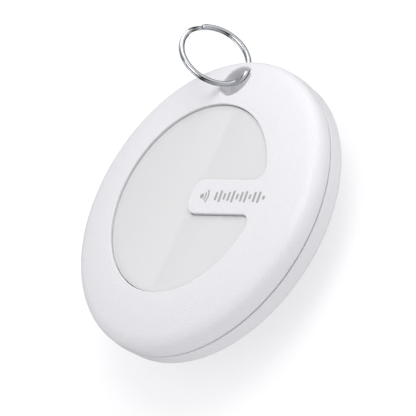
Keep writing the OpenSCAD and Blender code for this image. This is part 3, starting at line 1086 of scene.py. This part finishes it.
white_plastic("white_shell", 0.69)
white_plastic("white_door", 0.68)
gloss_plastic()
matte(
    "grey_print", gray(0.30), gray(0.36), rough=(0.35, 0.5),
    grain=(0.09, 3.0), depth=0.004, mottle=(0.25, 4.0), wear=(0.3, 3.0),
)
polished_nickel()
foam()
board_mask()
matte(
    "chip_epoxy", gray(0.018), gray(0.035), rough=(0.45, 0.65),
    grain=(0.05, 3.0), depth=0.008, mottle=(0.4, 5.0), wear=(0.2,),
)
metal("tin_plate", gray(0.55), gray(0.68), (0.25, 0.4), (1, 0.08, 1))
ceramic("ceramic", (0.62, 0.58, 0.48), (0.74, 0.70, 0.60))
ceramic("capacitor_body", (0.30, 0.19, 0.11), (0.42, 0.28, 0.17))
wound_wire()
woven_mesh()
ceramic("switch_stem", (0.50, 0.08, 0.05), (0.62, 0.12, 0.08))
ceramic("carrier_plastic", (0.42, 0.47, 0.55), (0.50, 0.55, 0.62))
turned_metal("cell_steel", gray(0.58), gray(0.70), (0.16, 0.28))
metal("gold_contact", (0.82, 0.58, 0.22), (0.90, 0.68, 0.30), (0.18, 0.3), (0.1, 1, 1))
matte(
    "seal_rubber", gray(0.012), gray(0.035), rough=(0.55, 0.75),
    grain=(0.08, 3.0), depth=0.012, mottle=(0.6, 6.0), wear=(0.3,),
)
turned_metal("screw_steel", gray(0.42), gray(0.56), (0.2, 0.35))


def dress(obj, slot):
    """Gives an object one material, in place of any it has."""
    obj.data.materials.clear()
    obj.data.materials.append(MATERIALS[slot])


def add_piece(obj, node, body, slot):
    """A finished piece that stands for a CAD node."""
    dress(obj, slot)
    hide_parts(node)
    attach(obj, body)
    return obj


add_piece(make_front_shell(), "front_shell", "case", "white_shell")
add_piece(make_rear_cover(), "rear_cover", "case", "white_shell")
add_piece(make_front_panel(), "front_panel", "panel_button", "gloss_panel")
add_piece(make_front_mark(), "front_mark", "case", "grey_print")
add_piece(make_battery_door(), "battery_door", "door", "white_door")
add_piece(make_split_ring(), "split_ring", "ring", "ring_nickel")
foam_ring = add_piece(make_foam_ring(), "panel_gasket", "case", "foam")
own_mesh(foam_ring)

NODES_OF = {
    "board": ("circuit_board",),
    "chip_epoxy": (
        "bluetooth_chip", "resistors", "boost_inductor",
        "buzzer_driver", "buzzer_case", "switch_case",
    ),
    "tin_plate": (
        "shield_can", "main_crystal", "clock_crystal", "buzzer_diaphragm", "switch_cover",
    ),
    "ceramic": ("chip_antenna",),
    "capacitor_body": ("capacitors",),
    "copper_wire": ("buzzer_coil",),
    "mesh_fabric": ("sound_mesh",),
    "switch_stem": ("switch_plunger",),
    "carrier_plastic": ("cell_carrier",),
    "cell_steel": ("coin_cell",),
    "gold_contact": ("positive_contact", "negative_contact"),
    "seal_rubber": ("door_seal", "case_seal"),
    "foam": ("door_pad",),
    "screw_steel": ("board_screws",),
}
for slot_name, node_names in NODES_OF.items():
    for node_name in node_names:
        dress(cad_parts[node_name], slot_name)


# ---------- studio ----------

scene = bpy.context.scene
scene.view_settings.view_transform = "Standard"
scene.view_settings.look = "None"

STUDIO_WHITE = (0.99, 0.985, 1.0, 1)
LIGHT_TARGET = Vector((0, 0, 4))

# The tag hangs this far above the floor, so that the swung keyring clears it
FLOOR_Z = -5.0
FLOOR_SIZE = 6000.0
FLOOR_STEPS = 24


def make_floor():
    """A wide, slightly uneven white sheet, lit a little from behind."""
    build = Builder()
    ticks = [FLOOR_SIZE * (i / FLOOR_STEPS - 0.5) for i in range(FLOOR_STEPS + 1)]
    rows = [[build.bm.verts.new((x, y, FLOOR_Z)) for x in ticks] for y in ticks]
    build.stack(rows, closed=False)
    floor = build.finish("studio_floor")
    paper = Finish("studio_paper")
    paper.color(paper.noise(30.0, 4.0), gray(0.42), gray(0.425))
    paper.roughness(paper.noise(2.0), 0.85, 0.95)
    paper.relief(paper.noise(0.6, 3.0), 0.01)
    paper.set(Specular_IOR_Level=0.1, Emission_Color=STUDIO_WHITE, Emission_Strength=0.55)
    floor.data.materials.append(paper.material)
    floor.visible_glossy = False


# The view: angles in degrees, lengths in millimetres
VIEW_AZIMUTH = 69.113
VIEW_ELEVATION = 37.385
VIEW_ROLL = 56.679
VIEW_SHIFT_RIGHT = 2.8
VIEW_SHIFT_UP = -1.48
VIEW_DISTANCE = 863.8
LENS = 555.1
SENSOR = 36


def make_camera():
    """A long lens that looks down on the tag, rolled so that the ring is on top."""
    azimuth, elevation, roll = (math.radians(a) for a in (VIEW_AZIMUTH, VIEW_ELEVATION, VIEW_ROLL))
    back = Vector((
        math.sin(azimuth) * math.cos(elevation),
        -math.cos(azimuth) * math.cos(elevation),
        math.sin(elevation),
    ))
    level_right = Vector((math.cos(azimuth), math.sin(azimuth), 0))
    level_up = back.cross(level_right)
    up = math.cos(roll) * level_up + math.sin(roll) * level_right
    right = up.cross(back)
    target = Vector((0, 0, FACE_H)) + VIEW_SHIFT_RIGHT * right + VIEW_SHIFT_UP * up
    place = Matrix((right, up, back)).transposed().to_4x4()
    place.translation = (target + VIEW_DISTANCE * back) * MM
    data = bpy.data.cameras.new("camera")
    data.lens = LENS
    data.sensor_width = SENSOR
    data.clip_start = 0.05
    data.clip_end = 20
    made = bpy.data.objects.new("camera", data)
    scene.collection.objects.link(made)
    made.matrix_world = place
    scene.camera = made
    return made


# Two places on the panel through which the mirrored edge of a card runs
CARD_EDGE_START = (2.65, 14.05)
CARD_EDGE_END = (-0.13, -6.68)


def panel_card_edge(view_from):
    """Normal of the plane through the mirrored eye and the card's edge on the panel."""
    eye = Vector((view_from.x, view_from.y, 2 * PANEL_TOP - view_from.z))
    ends = [Vector((x, y, PANEL_TOP)) - eye for x, y in (CARD_EDGE_START, CARD_EDGE_END)]
    return ends[0].cross(ends[1]).normalized()


def make_light(name, position, size, power):
    """Square area light at a position, in millimetres, aimed at the tag."""
    data = bpy.data.lights.new(name, "AREA")
    data.shape = "SQUARE"
    data.size = size * MM
    data.energy = power
    light = bpy.data.objects.new(name, data)
    scene.collection.objects.link(light)
    light.location = Vector(position) * MM
    way = LIGHT_TARGET - Vector(position)
    light.rotation_euler = way.to_track_quat("-Z", "Y").to_euler()
    return light


# Cards: direction, where the fade starts and ends, brightness outside and inside
KEYRING_CARD = ((-0.22, 0.95, 0.1), 0.80, 0.95, 0.75, 1.65)
GREY_WALLS = (
    ((-0.4, -0.9, 0.05), 0.5, 0.75, 1.0, 0.5),
    ((-0.85, -0.05, 0.5), 0.8, 0.93, 1.0, 0.5),
    ((0.0, 0.2, 1.0), 0.78, 0.93, 1.0, 0.5),
    ((0.9, -0.3, 0.3), 0.75, 0.9, 1.0, 0.5),
)
DARK_FLOOR = ((-0.36, 0.62, -0.70), 0.47, 0.62, 1.0, 0.05)
FLOOR_PATCH = ((0.12, 0.96, -0.25), 0.955, 0.985, 0.0, 0.7)
# A band round the studio: axis, offset, where the fade starts and ends, brightness in and out
DARK_BAND = ((-0.564, 0.18, 0.806), 0.02, 0.10, 0.16, 0.04, 1.0)
# A card that leaves a gap in the band
BAND_GAP = ((0.33, 0.94, 0.045), 0.93, 0.97, 0.0, 1.0)


def make_world(panel_card_side, panel_mirror):
    """Pale surroundings for diffuse light, and a studio of cards for reflections.

    panel_card_side is the normal of the edge of the card that the panel mirrors, and panel_mirror
    is the direction that the panel mirrors to the eye.
    """
    world = bpy.data.worlds.new("studio")
    scene.world = world
    world.use_nodes = True
    tree = world.node_tree
    place = tree.nodes.new("ShaderNodeTexCoord").outputs["Generated"]

    def along(direction):
        """How far a ray points along a direction, from -1 to 1."""
        made = tree.nodes.new("ShaderNodeVectorMath")
        made.operation = "DOT_PRODUCT"
        made.inputs[1].default_value = Vector(direction).normalized()
        tree.links.new(place, made.inputs[0])
        return made.outputs["Value"]

    def spread(source, start, end, low, high, soft=True):
        """Values from start to end, turned into low to high."""
        made = tree.nodes.new("ShaderNodeMapRange")
        made.interpolation_type = "SMOOTHSTEP" if soft else "LINEAR"
        set_range(made, start, end, low, high)
        tree.links.new(source, made.inputs["Value"])
        return made.outputs["Result"]

    def calc(operation, first, second=0.0):
        """A Math node on a socket and a second socket or number."""
        made = tree.nodes.new("ShaderNodeMath")
        made.operation = operation
        tree.links.new(first, made.inputs[0])
        if isinstance(second, float):
            made.inputs[1].default_value = second
        else:
            tree.links.new(second, made.inputs[1])
        return made.outputs[0]

    def card(direction, *fade):
        return spread(along(direction), *fade)

    ambient = spread(along((0.0, -0.1, 0.6)), -1, 1, 0.63, 1.05, soft=False)

    # A bright card beyond the keyring among grey walls, over a dark floor with a lighter patch
    cards = card(*KEYRING_CARD)
    for wall in GREY_WALLS:
        cards = calc("MULTIPLY", cards, card(*wall))
    cards = calc("MULTIPLY", cards, calc("MAXIMUM", card(*DARK_FLOOR), card(*FLOOR_PATCH)))
    # A dark band right round the studio with one gap in it, seen as short dark bands on the ring
    band_axis, band_offset, *band_fade = DARK_BAND
    band = spread(calc("ABSOLUTE", calc("ADD", along(band_axis), band_offset)), *band_fade)
    cards = calc("MULTIPLY", cards, calc("MAXIMUM", band, card(*BAND_GAP)))
    # The edge of a large card crosses the glossy panel: brighter towards the edge, then a step down
    side = along(panel_card_side)
    rise = spread(side, -0.013, 0.0, -0.40, 0.65, soft=False)
    step = spread(side, -0.0001, 0.0001, 0.0, -0.75, soft=False)
    again = spread(side, 0.0, 0.004, 0.0, 0.5, soft=False)
    pattern = calc("ADD", calc("ADD", rise, step), again)
    near_panel = spread(along(panel_mirror), 0.995, 0.998, 0.0, 1.0)
    cards = calc("ADD", cards, calc("MULTIPLY", pattern, near_panel))

    ray = tree.nodes.new("ShaderNodeLightPath")
    strength = tree.nodes.new("ShaderNodeMix")
    tree.links.new(ray.outputs["Is Glossy Ray"], strength.inputs["Factor"])
    tree.links.new(ambient, strength.inputs["A"])
    tree.links.new(cards, strength.inputs["B"])
    background = tree.nodes["Background"]
    background.inputs["Color"].default_value = STUDIO_WHITE
    tree.links.new(strength.outputs["Result"], background.inputs["Strength"])


make_floor()
eye = make_camera().matrix_world.translation / MM
make_world(panel_card_edge(eye), Vector((-eye.x, -eye.y, eye.z)))
# The key lights the surfaces, and its card beside it is what the bright metal mirrors
make_light("key", (180, 560, 640), 620, 3.5).visible_glossy = False
make_light("key_card", (480, 330, 680), 450, 2.25).visible_diffuse = False
make_light("rim_light", (200, 850, 260), 300, 0.6)
